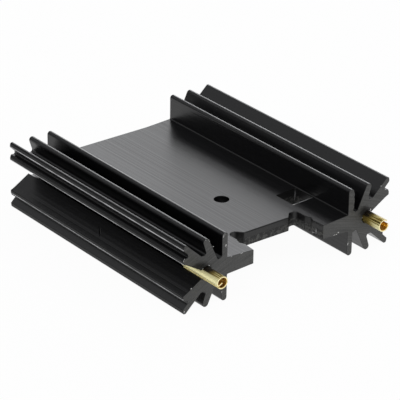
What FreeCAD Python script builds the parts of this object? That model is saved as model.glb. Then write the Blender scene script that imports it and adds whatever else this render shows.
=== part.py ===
"""Extruded heat sink for one power transistor, with two rolled solder pins.

The extrusion runs along Y. X goes across its fins and Z is up. The origin is below the middle of the
whole part, on the surface that it lies on. The pins stand out of the near end, towards -Y.
"""
import FreeCAD, Part
import enum
import math
import os
import Sketcher

DRIVING_SIZES = [
    # Extrusion as a whole
    ("body_length", 50.8, "cut length of the extrusion along Y"),
    ("body_height", 12.7, "height over the tips of the upper and lower fins"),
    # Centre plate between the two straight fins
    ("plate_thickness", 2.64, "thickness of the flat that the transistor sits on"),
    ("root_thickness", 3.16, "thickness of the plate where it meets the straight fins"),
    ("flat_width", 15.8, "width of the flat before the plate thickens"),
    ("channel_width", 26.64, "clear width between the two straight fins"),
    ("channel_fillet", 0.4, "radius between the plate and a straight fin"),
    # Straight fin
    ("fin_thickness", 1.15, "thickness of a straight fin"),
    ("fin_round", 0.45, "radius on the edges of a straight fin's tip"),
    # Fan of leaning fins, each size counted outwards from the straight fin's outer face
    ("fan_reach", 8.13, "from the straight fin to the side of the extrusion"),
    ("inner_groove_floor", 0.93, "width of the floor of the groove beside the straight fin"),
    ("inner_groove_height", 1.85, "height of that floor above the middle plane"),
    ("inner_groove_round", 0.36, "radius of that floor's corners"),
    ("lean_fin_tip_place", 2.96, "place of the leaning fin's tip"),
    ("lean_fin_tip_width", 1.23, "width of the leaning fin's tip"),
    ("lean_fin_foot_place", 3.24, "place of the leaning fin's outer foot"),
    ("lean_fin_round", 0.5, "radius on the edges of the leaning fin's tip"),
    ("outer_groove_floor", 1.11, "width of the floor of the groove beside the forked fin"),
    ("outer_groove_height", 3.4, "height of that floor above the middle plane"),
    ("outer_groove_round", 0.4, "radius of that floor's corners"),
    # Forked outer fin
    ("fork_tip_width", 0.62, "width of the forked fin's top edge"),
    ("fork_tip_round", 0.4, "radius on its outer corner"),
    ("fork_inner_round", 0.3, "radius on its inner corner"),
    ("fork_upper_edge", 0.69, "height of the upper prong's side edge"),
    ("fork_upper_round", 0.15, "radius on the lower corner of that edge"),
    ("fork_mouth", 1.66, "height of the hooked notch between the two prongs"),
    ("fork_depth", 0.92, "depth of that notch"),
    ("fork_slant", 0.66, "how far the notch's upper wall drops on its way in"),
    ("fork_back_round", 0.4, "radius between the notch's upper wall and its back"),
    ("fork_floor_round", 0.25, "radius between the notch's back and its floor"),
    ("fork_shoulder_inset", 0.2, "how far the lower prong's shoulder stands back"),
    ("fork_shoulder_height", 0.5, "height of that shoulder"),
    ("fork_shoulder_round", 0.12, "radius on the shoulder's two corners"),
    ("fork_lower_edge", 0.53, "height of the lower prong's side edge"),
    ("fork_lower_round", 0.15, "radius between that edge and the side groove"),
    # Side groove and pin socket at its bottom
    ("pin_place", 3.31, "place of the pin's axis, counted from the straight fin"),
    ("side_groove_overshoot", 0.324, "how far the side groove's point lies behind the pin's axis"),
    ("socket_clearance", 0.055, "radial room between the pin and its socket"),
    # Notch in the near end of the plate, which clears the transistor's leads
    ("notch_mouth", 15.4, "width of the notch at the end face"),
    ("notch_depth", 5.93, "depth of the notch in the middle"),
    ("ear_start_place", 4.95, "place where the back wall turns into an ear, counted from the middle"),
    ("ear_inner_place", 6.05, "place of an ear's inner corner"),
    ("ear_width", 1.45, "width of an ear at its far end"),
    ("ear_depth", 7.18, "depth of the notch at its two ears"),
    ("ear_round", 0.82, "radius of an ear's two far corners"),
    ("ear_bend_depth", 4.8, "depth where an ear's side bends outwards"),
    ("ear_bend_round", 0.4, "radius of that bend and of the one in the back wall"),
    ("shoulder_flare", 0.43, "how far the shoulder stands out beyond the ear's side"),
    ("shoulder_depth", 3.55, "depth of that shoulder"),
    ("step_inset", 0.48, "how far the step in the mouth's side stands in from the shoulder"),
    ("step_depth", 2.4, "depth of that step"),
    ("shoulder_round", 0.2, "radius of the shoulder and of the step"),
    # Window for the foot of a spring clip
    ("window_width", 4.45, "width of the clip window across the plate"),
    ("window_length", 4.65, "length of the clip window along the plate"),
    ("window_wall", 0.28, "plate left between the window and the straight fin"),
    ("window_place", 9.25, "near edge of the window, counted from the end face"),
    ("window_round", 0.15, "radius of the window's corners"),
    # Screw hole for the transistor's tab
    ("hole_diameter", 2.75, "diameter of the screw hole"),
    ("hole_place", 18.4, "distance of the screw hole from the end face"),
    # Rolled solder pin
    ("pin_diameter", 2.29, "outer diameter of the rolled pin"),
    ("pin_wall", 0.25, "thickness of the strip that it is rolled from"),
    ("pin_protrusion", 4.32, "length of the pin outside the end face"),
    ("pin_insertion", 5.2, "length of the pin inside its socket"),
    ("pin_seam_start", 224.0, "angle of the strip's outer edge, in degrees"),
    ("pin_sweep", 321.0, "angle that the strip's outer turn covers, in degrees"),
    ("curl_diameter", 0.85, "outer diameter of the edge that is curled inwards"),
    ("curl_sweep", 105.0, "angle of that curl, in degrees"),
    ("curl_tongue", 0.5, "straight length at the end of the curl"),
]

# Places that several sub-parts share, each worked out from the driving sizes
HALF_HEIGHT = "Sizes.body_height / 2"
NEAR_END = "(Sizes.pin_protrusion - Sizes.body_length) / 2"
FIN_INNER = "Sizes.channel_width / 2"
FIN_OUTER = FIN_INNER + " + Sizes.fin_thickness"
SIDE = FIN_OUTER + " + Sizes.fan_reach"
PIN_AXIS = FIN_OUTER + " + Sizes.pin_place"
SIDE_GROOVE_POINT = PIN_AXIS + " - Sizes.side_groove_overshoot"
FORK_CEILING = HALF_HEIGHT + " - Sizes.fork_upper_edge"
FORK_FLOOR = FORK_CEILING + " - Sizes.fork_mouth"
LOWER_PRONG = FORK_FLOOR + " - Sizes.fork_shoulder_height"
SIDE_GROOVE_EDGE = LOWER_PRONG + " - Sizes.fork_lower_edge"


class At(enum.IntEnum):
    """Which point of a line or arc a constraint holds."""

    START = 1
    END = 2
    CENTRE = 3


class Axis(enum.IntEnum):
    """The numbers that a sketch gives to its own axes."""

    ACROSS = -1
    UPRIGHT = -2


ORIGIN_POINT = (Axis.ACROSS, At.START)

doc = FreeCAD.newDocument("HeatSink")


def make_sheet():
    """Put the driving sizes in a spreadsheet, one row each: name, value, meaning."""
    sheet = doc.addObject("Spreadsheet::Sheet", "Sizes")
    for row, (alias, size, meaning) in enumerate(DRIVING_SIZES, start=1):
        sheet.set("A%d" % row, alias)
        sheet.set("B%d" % row, str(size))
        sheet.set("C%d" % row, meaning)
        sheet.setAlias("B%d" % row, alias)
    doc.recompute()
    return sheet


sheet = make_sheet()


def value(expression):
    """Return the number that an expression on the sheet's sizes gives now."""
    return float(sheet.evalExpression(expression))


def make_body(label):
    """Start a body, and return it with its three origin planes by role."""
    body = doc.addObject("PartDesign::Body", label)
    body.Label = label
    planes = {}
    for feature in body.Origin.OriginFeatures:
        planes[feature.Role] = feature
    return body, planes


def make_sketch(body, plane, name, offsets):
    """Attach a sketch to a plane of its own body, moved by named expressions along its own axes."""
    sketch = body.newObject("Sketcher::SketchObject", name)
    sketch.AttachmentSupport = [(plane, "")]
    sketch.MapMode = "FlatFace"
    for axis, expression in offsets.items():
        sketch.setExpression(".AttachmentOffset.Base." + axis, expression)
    doc.recompute()
    return sketch


def drive(sketch, constraint, name, expression):
    """Add one dimension to a sketch under a name and bind it to the sheet."""
    index = sketch.addConstraint(constraint)
    sketch.renameConstraint(index, name)
    sketch.setExpression("Constraints." + name, expression)


def place_point(sketch, geometry, position, name, x_expression, y_expression):
    """Hold a point of a sketch at the given place, where None means on the axis."""
    if x_expression is None:
        sketch.addConstraint(Sketcher.Constraint("PointOnObject", geometry, position, Axis.UPRIGHT))
    else:
        size = value(x_expression)
        constraint = Sketcher.Constraint("DistanceX", *ORIGIN_POINT, geometry, position, size)
        drive(sketch, constraint, name + "_x", x_expression)
    if y_expression is None:
        sketch.addConstraint(Sketcher.Constraint("PointOnObject", geometry, position, Axis.ACROSS))
    else:
        size = value(y_expression)
        constraint = Sketcher.Constraint("DistanceY", *ORIGIN_POINT, geometry, position, size)
        drive(sketch, constraint, name + "_y", y_expression)


def fillet_arc(before, corner, after, radius):
    """Return the arc that rounds a corner and its two tangent points, in the order of travel."""
    to_before = (before - corner).normalize()
    to_after = (after - corner).normalize()
    half_angle = to_before.getAngle(to_after) / 2
    bisector = (to_before + to_after).normalize()
    centre = corner + bisector * (radius / math.sin(half_angle))
    first = corner + to_before * (radius / math.tan(half_angle))
    last = corner + to_after * (radius / math.tan(half_angle))
    turns_left = to_after.cross(to_before).z > 0
    angles = []
    for point in (first, last):
        spoke = point - centre
        angles.append(math.atan2(spoke.y, spoke.x))
    if not turns_left:
        angles.reverse()
    if angles[1] < angles[0]:
        angles[1] += 2 * math.pi
    circle = Part.Circle(centre, FreeCAD.Vector(0, 0, 1), radius)
    return Part.ArcOfCircle(circle, *angles), first, last, turns_left


def draw_outline(sketch, corners):
    """Draw a closed outline with rounded corners, fully held by the sheet.

    Each corner is (name, x, y, radius), all expressions. None as x or y puts it on that axis, and
    None as radius leaves it sharp. The corner of a rounded one stays in the sketch as a point where
    its two lines would meet.
    """
    points = []
    for _, x_expression, y_expression, _ in corners:
        x_place = 0.0 if x_expression is None else value(x_expression)
        y_place = 0.0 if y_expression is None else value(y_expression)
        points.append(FreeCAD.Vector(x_place, y_place, 0))
    count = len(corners)
    arcs = []
    ends = []
    for index, (_, _, _, radius) in enumerate(corners):
        corner = points[index]
        if radius is None:
            arcs.append(None)
            ends.append((corner, corner))
            continue
        arc, first, last, turns_left = fillet_arc(
            points[index - 1], corner, points[(index + 1) % count], value(radius))
        arcs.append((arc, turns_left))
        ends.append((first, last))
    lines = []
    for index in range(count):
        segment = Part.LineSegment(ends[index][1], ends[(index + 1) % count][0])
        lines.append(sketch.addGeometry(segment, False))
    for index, (name, x_expression, y_expression, radius) in enumerate(corners):
        line_in = lines[index - 1]
        line_out = lines[index]
        if arcs[index] is None:
            sketch.addConstraint(Sketcher.Constraint("Coincident", line_in, At.END, line_out, At.START))
            place_point(sketch, line_out, At.START, name, x_expression, y_expression)
            continue
        arc, turns_left = arcs[index]
        arc_in, arc_out = (At.START, At.END) if turns_left else (At.END, At.START)
        rounding = sketch.addGeometry(arc, False)
        sketch.addConstraint(Sketcher.Constraint("Tangent", line_in, At.END, rounding, arc_in))
        sketch.addConstraint(Sketcher.Constraint("Tangent", rounding, arc_out, line_out, At.START))
        drive(sketch, Sketcher.Constraint("Radius", rounding, value(radius)), name + "_round", radius)
        sharp = sketch.addGeometry(Part.Point(points[index]), True)
        sketch.addConstraint(Sketcher.Constraint("PointOnObject", sharp, At.START, line_in))
        sketch.addConstraint(Sketcher.Constraint("PointOnObject", sharp, At.START, line_out))
        place_point(sketch, sharp, At.START, name, x_expression, y_expression)
    doc.recompute()
    if sketch.solve() != 0:
        raise RuntimeError(sketch.Name + " can't be solved")


def profile_corners():
    """List the corners of the quarter of the extrusion's profile right of the middle and above it."""
    fan = FIN_OUTER + " + Sizes."
    return [
        ("middle", None, None, None),
        ("plate", None, "Sizes.plate_thickness / 2", None),
        ("flat_edge", "Sizes.flat_width / 2", "Sizes.plate_thickness / 2", None),
        ("channel", FIN_INNER, "Sizes.root_thickness / 2", "Sizes.channel_fillet"),
        ("fin_inner_tip", FIN_INNER, HALF_HEIGHT, "Sizes.fin_round"),
        ("fin_outer_tip", FIN_OUTER, HALF_HEIGHT, "Sizes.fin_round"),
        ("inner_groove_start", FIN_OUTER, "Sizes.inner_groove_height", "Sizes.inner_groove_round"),
        ("inner_groove_end", fan + "inner_groove_floor", "Sizes.inner_groove_height",
         "Sizes.inner_groove_round"),
        ("lean_inner_tip", fan + "lean_fin_tip_place", HALF_HEIGHT, "Sizes.lean_fin_round"),
        ("lean_outer_tip", fan + "lean_fin_tip_place + Sizes.lean_fin_tip_width", HALF_HEIGHT,
         "Sizes.lean_fin_round"),
        ("outer_groove_start", fan + "lean_fin_foot_place", "Sizes.outer_groove_height",
         "Sizes.outer_groove_round"),
        ("outer_groove_end", fan + "lean_fin_foot_place + Sizes.outer_groove_floor",
         "Sizes.outer_groove_height", "Sizes.outer_groove_round"),
        ("fork_inner_tip", SIDE + " - Sizes.fork_tip_width", HALF_HEIGHT, "Sizes.fork_inner_round"),
        ("fork_outer_tip", SIDE, HALF_HEIGHT, "Sizes.fork_tip_round"),
        ("upper_prong", SIDE, FORK_CEILING, "Sizes.fork_upper_round"),
        ("fork_back_top", SIDE + " - Sizes.fork_depth", FORK_CEILING + " - Sizes.fork_slant",
         "Sizes.fork_back_round"),
        ("fork_back_bottom", SIDE + " - Sizes.fork_depth", FORK_FLOOR, "Sizes.fork_floor_round"),
        ("fork_shoulder", SIDE + " - Sizes.fork_shoulder_inset", FORK_FLOOR, "Sizes.fork_shoulder_round"),
        ("lower_prong", SIDE, LOWER_PRONG, "Sizes.fork_shoulder_round"),
        ("side_groove_edge", SIDE, SIDE_GROOVE_EDGE, "Sizes.fork_lower_round"),
        ("side_groove", SIDE_GROOVE_POINT, None, None),
    ]


def notch_corners():
    """List the corners of the right half of the end notch, counted from the middle of the end edge."""
    ear_side = "Sizes.ear_inner_place + Sizes.ear_width"
    shoulder = ear_side + " + Sizes.shoulder_flare"
    return [
        ("middle", None, None, None),
        ("middle_bottom", None, "Sizes.notch_depth", None),
        ("ear_start", "Sizes.ear_start_place", "Sizes.notch_depth", "Sizes.ear_bend_round"),
        ("ear_inner", "Sizes.ear_inner_place", "Sizes.ear_depth", "Sizes.ear_round"),
        ("ear_outer", ear_side, "Sizes.ear_depth", "Sizes.ear_round"),
        ("ear_bend", ear_side, "Sizes.ear_bend_depth", "Sizes.ear_bend_round"),
        ("shoulder", shoulder, "Sizes.shoulder_depth", "Sizes.shoulder_round"),
        ("step", shoulder + " - Sizes.step_inset", "Sizes.step_depth", "Sizes.shoulder_round"),
        ("mouth", "Sizes.notch_mouth / 2", None, None),
    ]


def window_corners():
    """List the corners of the clip window, beside the right straight fin."""
    outer = FIN_INNER + " - Sizes.window_wall"
    inner = outer + " - Sizes.window_width"
    far = "Sizes.window_place + Sizes.window_length"
    return [
        ("near_inner", inner, "Sizes.window_place", "Sizes.window_round"),
        ("near_outer", outer, "Sizes.window_place", "Sizes.window_round"),
        ("far_outer", outer, far, "Sizes.window_round"),
        ("far_inner", inner, far, "Sizes.window_round"),
    ]


def draw_circle(sketch, name, radius, x_expression, y_expression):
    """Draw one circle in a sketch, with its radius and centre held by the sheet."""
    circle = sketch.addGeometry(Part.Circle(FreeCAD.Vector(), FreeCAD.Vector(0, 0, 1), value(radius)), False)
    drive(sketch, Sketcher.Constraint("Radius", circle, value(radius)), name + "_radius", radius)
    place_point(sketch, circle, At.CENTRE, name, x_expression, y_expression)


def polar(centre, radius, degrees):
    """Return the point at a radius and an angle about a centre."""
    angle = math.radians(degrees)
    return centre + FreeCAD.Vector(radius * math.cos(angle), radius * math.sin(angle), 0)


def draw_roll(sketch, seam_start):
    """Draw the section of a rolled strip, centred on the sketch's origin.

    The strip's outer edge is at the angle seam_start. From there it makes almost a full turn, then its
    inner edge curls tightly inwards and ends in a short straight tongue.
    """
    outer = value("Sizes.pin_diameter / 2")
    inner = outer - value("Sizes.pin_wall")
    curl = value("Sizes.curl_diameter / 2")
    tongue = value("Sizes.curl_tongue")
    start = value(seam_start)
    turn = start + value("Sizes.pin_sweep")
    stop = turn + value("Sizes.curl_sweep")
    axis = FreeCAD.Vector()
    centre = polar(axis, outer - curl, turn)
    normal = FreeCAD.Vector(0, 0, 1)

    def arc(middle, radius, first, last):
        """Add an arc to the section, from one angle to another."""
        circle = Part.Circle(middle, normal, radius)
        return sketch.addGeometry(Part.ArcOfCircle(circle, math.radians(first), math.radians(last)), False)

    def line(first, last, construction=False):
        """Add a line to the section."""
        return sketch.addGeometry(Part.LineSegment(first, last), construction)

    def join(kind, *ends):
        """Hold two ends together, or a point on a line, or two lines square or parallel."""
        sketch.addConstraint(Sketcher.Constraint(kind, *ends))

    outer_turn = arc(axis, outer, start, turn)
    inner_turn = arc(axis, inner, start, turn)
    outer_curl = arc(centre, curl, turn, stop)
    inner_curl = arc(centre, curl - outer + inner, turn, stop)
    free_edge = line(polar(axis, inner, start), polar(axis, outer, start))
    spoke = line(polar(axis, inner, turn), polar(axis, outer, turn), True)
    outer_end = polar(centre, curl, stop)
    inner_end = polar(centre, curl - outer + inner, stop)
    reach = polar(axis, tongue, stop + 90)
    outer_tongue = line(outer_end, outer_end + reach)
    inner_tongue = line(inner_end, inner_end + reach)
    tip = line(outer_end + reach, inner_end + reach)

    join("Coincident", outer_turn, At.CENTRE, *ORIGIN_POINT)
    join("Coincident", inner_turn, At.CENTRE, *ORIGIN_POINT)
    join("Coincident", free_edge, At.START, inner_turn, At.START)
    join("Coincident", free_edge, At.END, outer_turn, At.START)
    join("PointOnObject", *ORIGIN_POINT, free_edge)
    join("Coincident", spoke, At.START, inner_turn, At.END)
    join("Coincident", spoke, At.END, outer_turn, At.END)
    join("PointOnObject", *ORIGIN_POINT, spoke)
    join("Coincident", outer_curl, At.START, outer_turn, At.END)
    join("PointOnObject", outer_curl, At.CENTRE, spoke)
    join("Coincident", inner_curl, At.CENTRE, outer_curl, At.CENTRE)
    join("Coincident", inner_curl, At.START, inner_turn, At.END)
    join("Tangent", outer_curl, At.END, outer_tongue, At.START)
    join("Tangent", inner_curl, At.END, inner_tongue, At.START)
    join("Coincident", outer_tongue, At.END, tip, At.START)
    join("Coincident", inner_tongue, At.END, tip, At.END)
    join("Parallel", outer_tongue, inner_tongue)
    join("Perpendicular", outer_tongue, tip)
    drive(sketch, Sketcher.Constraint("Radius", outer_turn, outer), "outer_radius", "Sizes.pin_diameter / 2")
    drive(sketch, Sketcher.Constraint("Radius", inner_turn, inner), "inner_radius",
          "Sizes.pin_diameter / 2 - Sizes.pin_wall")
    drive(sketch, Sketcher.Constraint("Radius", outer_curl, curl), "curl_radius", "Sizes.curl_diameter / 2")
    drive(sketch, Sketcher.Constraint("Angle", free_edge, math.radians(start)), "seam_start", seam_start)
    drive(sketch, Sketcher.Constraint("Angle", outer_turn, math.radians(turn - start)), "outer_sweep",
          "Sizes.pin_sweep")
    drive(sketch, Sketcher.Constraint("Angle", outer_curl, math.radians(stop - turn)), "inward_sweep",
          "Sizes.curl_sweep")
    drive(sketch, Sketcher.Constraint("Distance", outer_tongue, tongue), "tongue", "Sizes.curl_tongue")
    doc.recompute()
    if sketch.solve() != 0:
        raise RuntimeError(sketch.Name + " can't be solved")


def pad(body, sketch, name, length):
    """Pad a sketch along +Y from its plane."""
    feature = body.newObject("PartDesign::Pad", name)
    feature.Profile = sketch
    feature.setExpression("Length", length)
    feature.Reversed = True
    doc.recompute()
    return feature


def mirror(body, feature, name, planes):
    """Repeat a feature across each of the given planes in turn, and make the result the body's tip."""
    repeat = body.newObject("PartDesign::MultiTransform", name)
    steps = []
    for plane_name, plane in planes:
        step = body.newObject("PartDesign::Mirrored", name + "_" + plane_name)
        step.MirrorPlane = plane
        steps.append(step)
    repeat.Originals = [feature]
    repeat.Transformations = steps
    body.Tip = repeat
    doc.recompute()
    return repeat


def cut(body, sketch, name):
    """Cut a sketch through the whole body, both ways from its plane, and check that material went."""
    volume_before = body.Shape.Volume
    feature = body.newObject("PartDesign::Pocket", name)
    feature.Profile = sketch
    feature.Type = "ThroughAll"
    feature.Midplane = True
    doc.recompute()
    if feature.Shape.Volume > volume_before - 1e-3:
        raise RuntimeError(name + " cuts nothing")
    return feature


def make_heat_sink():
    """Extrude the finned profile, then cut its sockets, end notch, clip window and screw hole."""
    body, planes = make_body("heat_sink")
    front = planes["XZ_Plane"]
    level = planes["XY_Plane"]
    across = ("across", (planes["YZ_Plane"], [""]))
    end_face = {"y": HALF_HEIGHT, "z": "-(" + NEAR_END + ")"}
    end_edge = {"y": NEAR_END, "z": HALF_HEIGHT}

    profile = make_sketch(body, front, "quarter_profile", end_face)
    draw_outline(profile, profile_corners())
    quarter = pad(body, profile, "quarter_extrusion", "Sizes.body_length")
    mirror(body, quarter, "whole_extrusion", [across, ("down", (profile, ["H_Axis"]))])

    sockets = make_sketch(body, front, "socket_sketch", end_face)
    socket_radius = "Sizes.pin_diameter / 2 + Sizes.socket_clearance"
    draw_circle(sockets, "right_socket", socket_radius, PIN_AXIS, None)
    draw_circle(sockets, "left_socket", socket_radius, "-(" + PIN_AXIS + ")", None)
    cut(body, sockets, "pin_sockets")

    notch = make_sketch(body, level, "notch_sketch", end_edge)
    draw_outline(notch, notch_corners())
    notch_half = cut(body, notch, "end_notch_half")
    mirror(body, notch_half, "end_notch", [across])

    window = make_sketch(body, level, "window_sketch", end_edge)
    draw_outline(window, window_corners())
    cut(body, window, "clip_window")

    hole = make_sketch(body, level, "hole_sketch", end_edge)
    draw_circle(hole, "screw_hole", "Sizes.hole_diameter / 2", None, "Sizes.hole_place")
    cut(body, hole, "screw_hole")
    return body


def make_pin(label, side, seam_start):
    """Roll one solder pin in its socket: side is its sign along X, seam_start its seam's angle."""
    body, planes = make_body(label)
    pin_end = {"x": side + "(" + PIN_AXIS + ")", "y": HALF_HEIGHT,
               "z": "(Sizes.body_length + Sizes.pin_protrusion) / 2"}
    section = make_sketch(body, planes["XZ_Plane"], label + "_section", pin_end)
    draw_roll(section, seam_start)
    pad(body, section, label + "_roll", "Sizes.pin_protrusion + Sizes.pin_insertion")
    return body


def check(bodies):
    """Stop if any object of the document failed, or a sub-part isn't one valid solid."""
    for thing in doc.Objects:
        for state in thing.State:
            if state in ("Invalid", "Error"):
                raise RuntimeError(thing.Name + " failed: " + str(thing.State))
    for body in bodies:
        if body.Shape.isNull() or not body.Shape.isValid() or len(body.Shape.Solids) != 1:
            raise RuntimeError(body.Label + " isn't one valid solid")


def export(bodies):
    """Write each sub-part to its own STEP file, named by its label."""
    os.makedirs("parts", exist_ok=True)
    for body in bodies:
        body.Shape.exportStep("parts/" + body.Label + ".step")
        print("%s: %.2f cubic millimetres" % (body.Label, body.Shape.Volume))


sub_parts = [
    make_heat_sink(),
    make_pin("solder_pin_left", "-", "Sizes.pin_seam_start"),
    make_pin("solder_pin_right", "", "Sizes.pin_seam_start - 180"),
]
doc.recompute()
check(sub_parts)
export(sub_parts)
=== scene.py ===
"""Black finned heat sink for one transistor, with two rolled brass solder pins.

The extrusion runs along Y, its fins stand across X and Z is up. Sizes are millimetres, and heights are
counted from the extrusion's middle plane, until a mesh is made, which is in metres in the shared frame.
"""

import logging
from dataclasses import dataclass, field
from enum import Enum, IntEnum
from typing import Callable, Mapping, Optional, Sequence, Union

import bpy
import numpy as np
from mathutils import Matrix, Vector


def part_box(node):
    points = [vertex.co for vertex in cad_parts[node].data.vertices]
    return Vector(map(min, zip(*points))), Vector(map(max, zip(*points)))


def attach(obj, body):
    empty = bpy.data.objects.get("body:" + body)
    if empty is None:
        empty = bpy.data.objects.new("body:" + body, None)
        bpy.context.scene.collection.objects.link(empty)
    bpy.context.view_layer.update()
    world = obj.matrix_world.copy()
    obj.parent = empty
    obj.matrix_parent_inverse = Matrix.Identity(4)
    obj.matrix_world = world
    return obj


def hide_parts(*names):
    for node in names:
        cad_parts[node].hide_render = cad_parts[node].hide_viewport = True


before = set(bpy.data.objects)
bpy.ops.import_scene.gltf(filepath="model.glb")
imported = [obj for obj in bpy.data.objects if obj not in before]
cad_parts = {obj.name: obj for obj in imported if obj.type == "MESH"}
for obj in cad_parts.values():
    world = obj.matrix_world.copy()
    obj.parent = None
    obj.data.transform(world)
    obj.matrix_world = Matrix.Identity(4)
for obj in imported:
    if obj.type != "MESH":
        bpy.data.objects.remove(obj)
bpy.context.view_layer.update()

MM = 0.001
MICRON = 0.000001
log = logging.getLogger("heat_sink")


class Slot(Enum):
    """The record's material slots."""

    ANODISED = "black_anodised_aluminium"
    BRASS = "bright_brass"


class Surface(IntEnum):
    """How a surface of the extrusion was made, which is also its material's number."""

    DRAWN = 0
    SAWN = 1
    PUNCHED = 2
    WORN = 3
    DULL = 4
    TORN = 5


class PinFace(IntEnum):
    """Where a surface of a pin lies, which is also its material's number."""

    OUTSIDE = 0
    INSIDE = 1
    CUT = 2


class Side(IntEnum):
    """The two sides of the plate, as signs along X."""

    LEFT = -1
    RIGHT = 1


# Outlines and meshes


@dataclass(frozen=True)
class Corner:
    """One corner of an outline and the radius that rounds it, where 0 leaves it sharp."""

    across: float
    along: float
    radius: float = 0.0


def rounded(corners: Sequence[Corner], steps: int = 8, closed: bool = True) -> np.ndarray:
    """Work out the points of an outline with rounded corners.

    At a corner P the unit directions u and v lead back to its neighbours and open at the angle 2h. The
    circle of radius r that touches both sides has its centre at P + r / sin h along their bisector. Its
    spokes a and b end on the sides, r / tan h from P. The points between them are the centre plus
    r (a sin((1 - t) w) + b sin(t w)) / sin w, with w the angle between the spokes and t from 0 to 1.

    Args:
        corners: the corners in order; in an open outline the first and last only give directions.
        steps: chords in each rounded corner.
        closed: whether the last corner leads back to the first.

    Returns:
        An array of points, one row each.
    """
    place = np.array([(corner.across, corner.along) for corner in corners])
    radius = np.array([corner.radius for corner in corners])[:, None]
    back = np.roll(place, 1, axis=0) - place
    ahead = np.roll(place, -1, axis=0) - place
    back /= np.linalg.norm(back, axis=1, keepdims=True)
    ahead /= np.linalg.norm(ahead, axis=1, keepdims=True)
    cosine = np.clip((back * ahead).sum(axis=1, keepdims=True), -1.0, 1.0)
    half = np.arccos(cosine) / 2.0
    bisector = back + ahead
    bisector /= np.maximum(np.linalg.norm(bisector, axis=1, keepdims=True), 1e-9)
    centre = place + bisector * radius / np.sin(half)
    first = place + back * radius / np.tan(half) - centre
    last = place + ahead * radius / np.tan(half) - centre
    turn = np.pi - 2.0 * half
    share = np.linspace(0.0, 1.0, steps + 1)[None, :]
    scale = np.maximum(np.sin(turn), 1e-9)
    from_first = (np.sin((1.0 - share) * turn) / scale)[:, :, None]
    from_last = (np.sin(share * turn) / scale)[:, :, None]
    points = centre[:, None, :] + from_first * first[:, None, :] + from_last * last[:, None, :]
    keep = np.ones(points.shape[:2], dtype=bool)
    keep[radius[:, 0] == 0.0, 1:] = False
    if not closed:
        keep[[0, -1], :] = False
    return points[keep]


def arc(centre: tuple[float, float], radius: float, first: float, last: float, steps: int) -> np.ndarray:
    """Work out points on a circle: its centre plus radius times the cosine and sine of even angles.

    Args:
        centre: the circle's centre.
        radius: its radius.
        first: the angle of the first point, in radians.
        last: the angle of the last point.
        steps: how many chords lie between them.

    Returns:
        An array of steps + 1 points.
    """
    angle = np.linspace(first, last, steps + 1)
    return np.array(centre) + radius * np.column_stack((np.cos(angle), np.sin(angle)))


def counterclockwise(outline: np.ndarray) -> np.ndarray:
    """Put an outline in the order in which its signed area, the shoelace sum, is positive.

    Args:
        outline: its points, one row each.

    Returns:
        The same points, turned round where their sum is negative.
    """
    ahead = np.roll(outline, -1, axis=0)
    area = (outline[:, 0] * ahead[:, 1] - ahead[:, 0] * outline[:, 1]).sum()
    return outline if area > 0.0 else outline[::-1]


def grown(outline: np.ndarray, distance: float) -> np.ndarray:
    """Move a counterclockwise outline outwards, or inwards where the distance is negative.

    Each point moves by distance (m + n) / (1 + m . n), where m and n are the unit normals of the two
    sides that meet in it, so every side moves by the distance itself.

    Args:
        outline: its points, one row each.
        distance: how far its sides move.

    Returns:
        The moved points.
    """
    side = np.roll(outline, -1, axis=0) - outline
    side /= np.linalg.norm(side, axis=1, keepdims=True)
    normal = np.column_stack((side[:, 1], -side[:, 0]))
    before = np.roll(normal, 1, axis=0)
    share = 1.0 + (normal * before).sum(axis=1, keepdims=True)
    return outline + distance * (normal + before) / share


def quad_faces(rings: int, count: int) -> np.ndarray:
    """List the quads between closed rings of points, each ring's numbers following the last's.

    The quad at point p of ring r, with count points in a ring, has the corners r count + p and
    (r + 1) count + p, then the next point of each ring in the opposite order.

    Args:
        rings: how many rings there are.
        count: points in each ring.

    Returns:
        An array of four point numbers a row.
    """
    ring, point = np.meshgrid(np.arange(rings - 1), np.arange(count), indexing="ij")
    after = (point + 1) % count
    corners = (ring * count + point, (ring + 1) * count + point,
               (ring + 1) * count + after, ring * count + after)
    return np.stack(corners, axis=-1).reshape(-1, 4)


def make_object(name: str, points: np.ndarray, faces: list[list[int]]) -> bpy.types.Object:
    """Make a mesh object in metres from points in millimetres, with every face smooth.

    Args:
        name: the object's name.
        points: one row of X, Y and Z each.
        faces: the point numbers of each face.

    Returns:
        The new object, linked to the scene.
    """
    mesh = bpy.data.meshes.new(name)
    mesh.from_pydata((points * MM).tolist(), [], faces)
    mesh.validate()
    mesh.polygons.foreach_set("use_smooth", np.ones(len(mesh.polygons), dtype=bool))
    piece = bpy.data.objects.new(name, mesh)
    bpy.context.scene.collection.objects.link(piece)
    return piece


def loft(name: str, rings: np.ndarray, cap: int = 0) -> bpy.types.Object:
    """Join rings of points by quads and close both ends with a flat face.

    Args:
        name: the object's name.
        rings: an array of rings, points and coordinates. Seen from outside the first ring, its points
            run counterclockwise.
        cap: material number of the two flat ends.

    Returns:
        The closed object.
    """
    count = rings.shape[1]
    last = (rings.shape[0] - 1) * count
    faces = quad_faces(rings.shape[0], count).tolist()
    faces.append(list(range(count)))
    faces.append(list(range(last + count - 1, last - 1, -1)))
    piece = make_object(name, rings.reshape(-1, 3), faces)
    for end in piece.data.polygons[-2:]:
        end.material_index = cap
    return piece


def edge_round(radius: float, steps: int) -> tuple[np.ndarray, np.ndarray]:
    """Work out a quarter round: how far each step lies in from the end and in from the side.

    The depth is r (1 - cos a) and the inset r (1 - sin a), with a from 0 at the end face to 90 degrees.

    Args:
        radius: the round's radius r.
        steps: its chords.

    Returns:
        The depths and the insets.
    """
    angle = np.linspace(0.0, np.pi / 2.0, steps + 1)
    return radius * (1.0 - np.cos(angle)), radius * (1.0 - np.sin(angle))


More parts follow.
